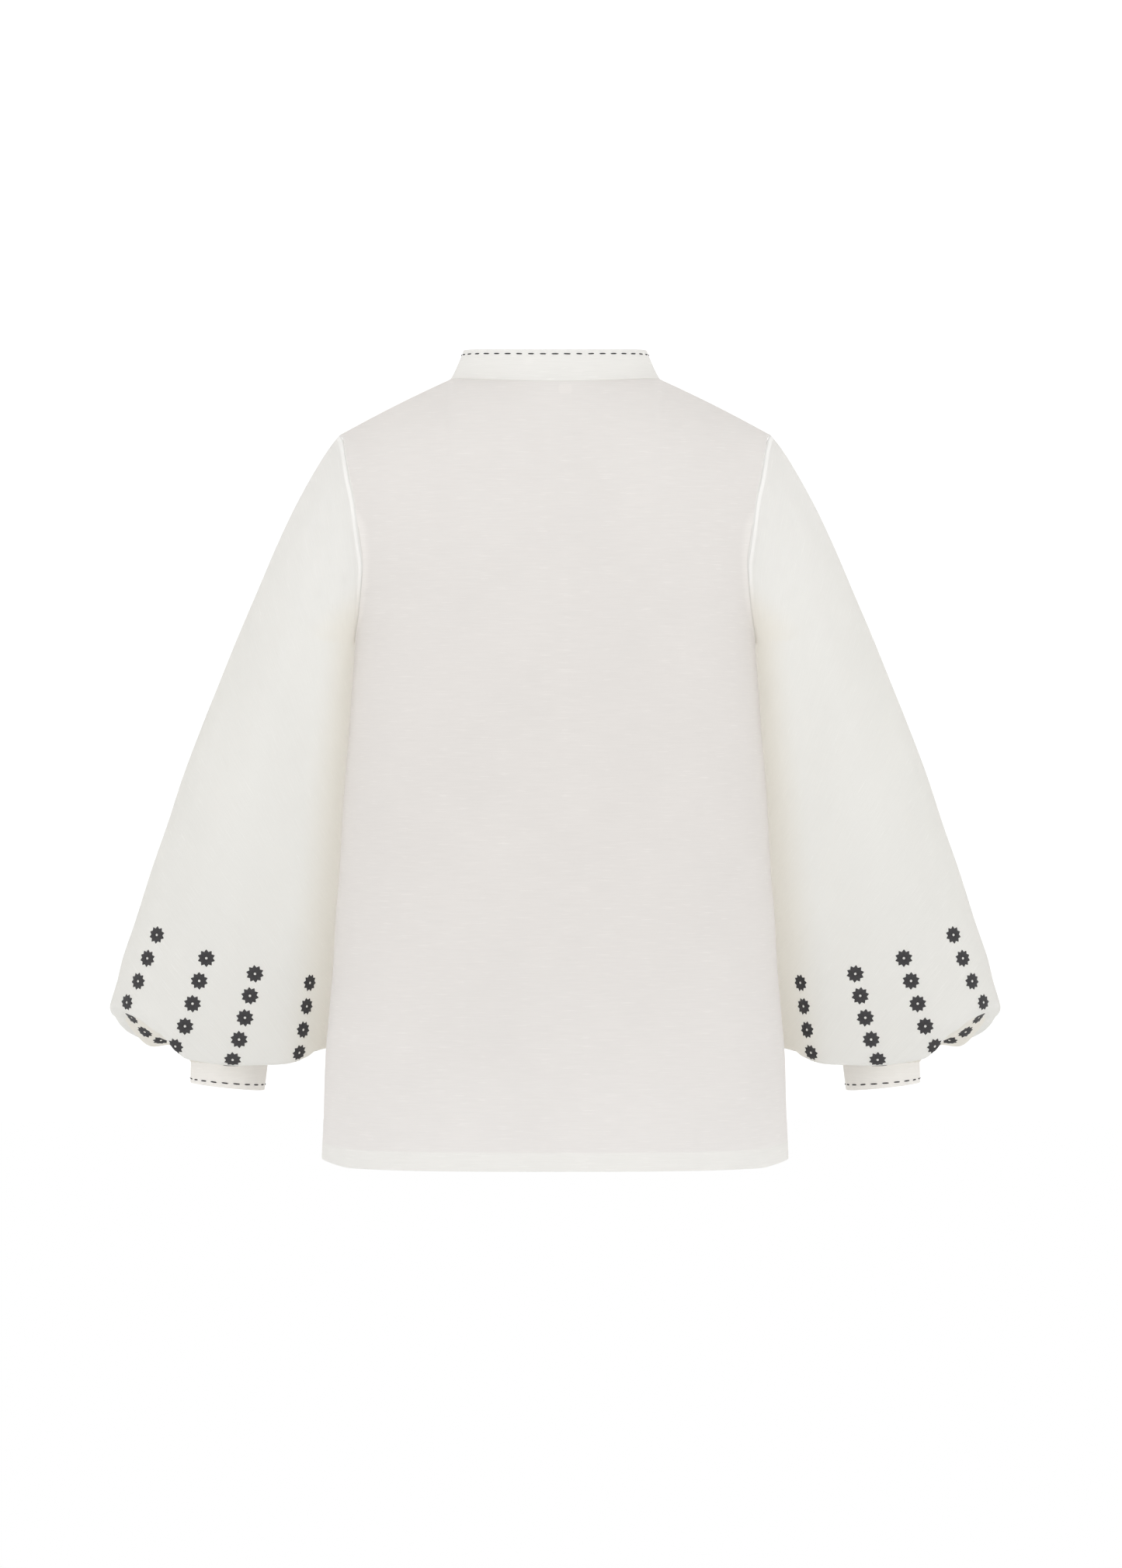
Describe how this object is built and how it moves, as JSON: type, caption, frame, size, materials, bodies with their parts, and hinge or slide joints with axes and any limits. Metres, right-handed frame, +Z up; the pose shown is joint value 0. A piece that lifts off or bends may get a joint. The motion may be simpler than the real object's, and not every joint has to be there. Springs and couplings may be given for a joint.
{
  "type": "embroidered blouse",
  "caption": "Long-sleeved hollow blouse with a stand collar, a straight hem and balloon sleeves gathered into narrow cuffs.",
  "frame": {"origin": "middle of the neck base, level with the points where the shoulder seams meet the collar", "axes": "+Z up, -Y out of the front, +Y out of the back, +X towards the wearer's left sleeve"},
  "size_m": [0.8084, 0.3, 0.729],
  "materials": {
    "single_cloth": "matte, slightly sheer",
    "doubled_cloth": "matte",
    "tape": "matte"
  },
  "bodies": {
    "root": {"back": "single_cloth", "front": "single_cloth", "collar": "doubled_cloth", "sleeve_left": "single_cloth", "sleeve_right": "single_cloth", "cuff_left": "doubled_cloth", "cuff_right": "doubled_cloth", "neck_tag": "tape"}
  },
  "joints": []
}
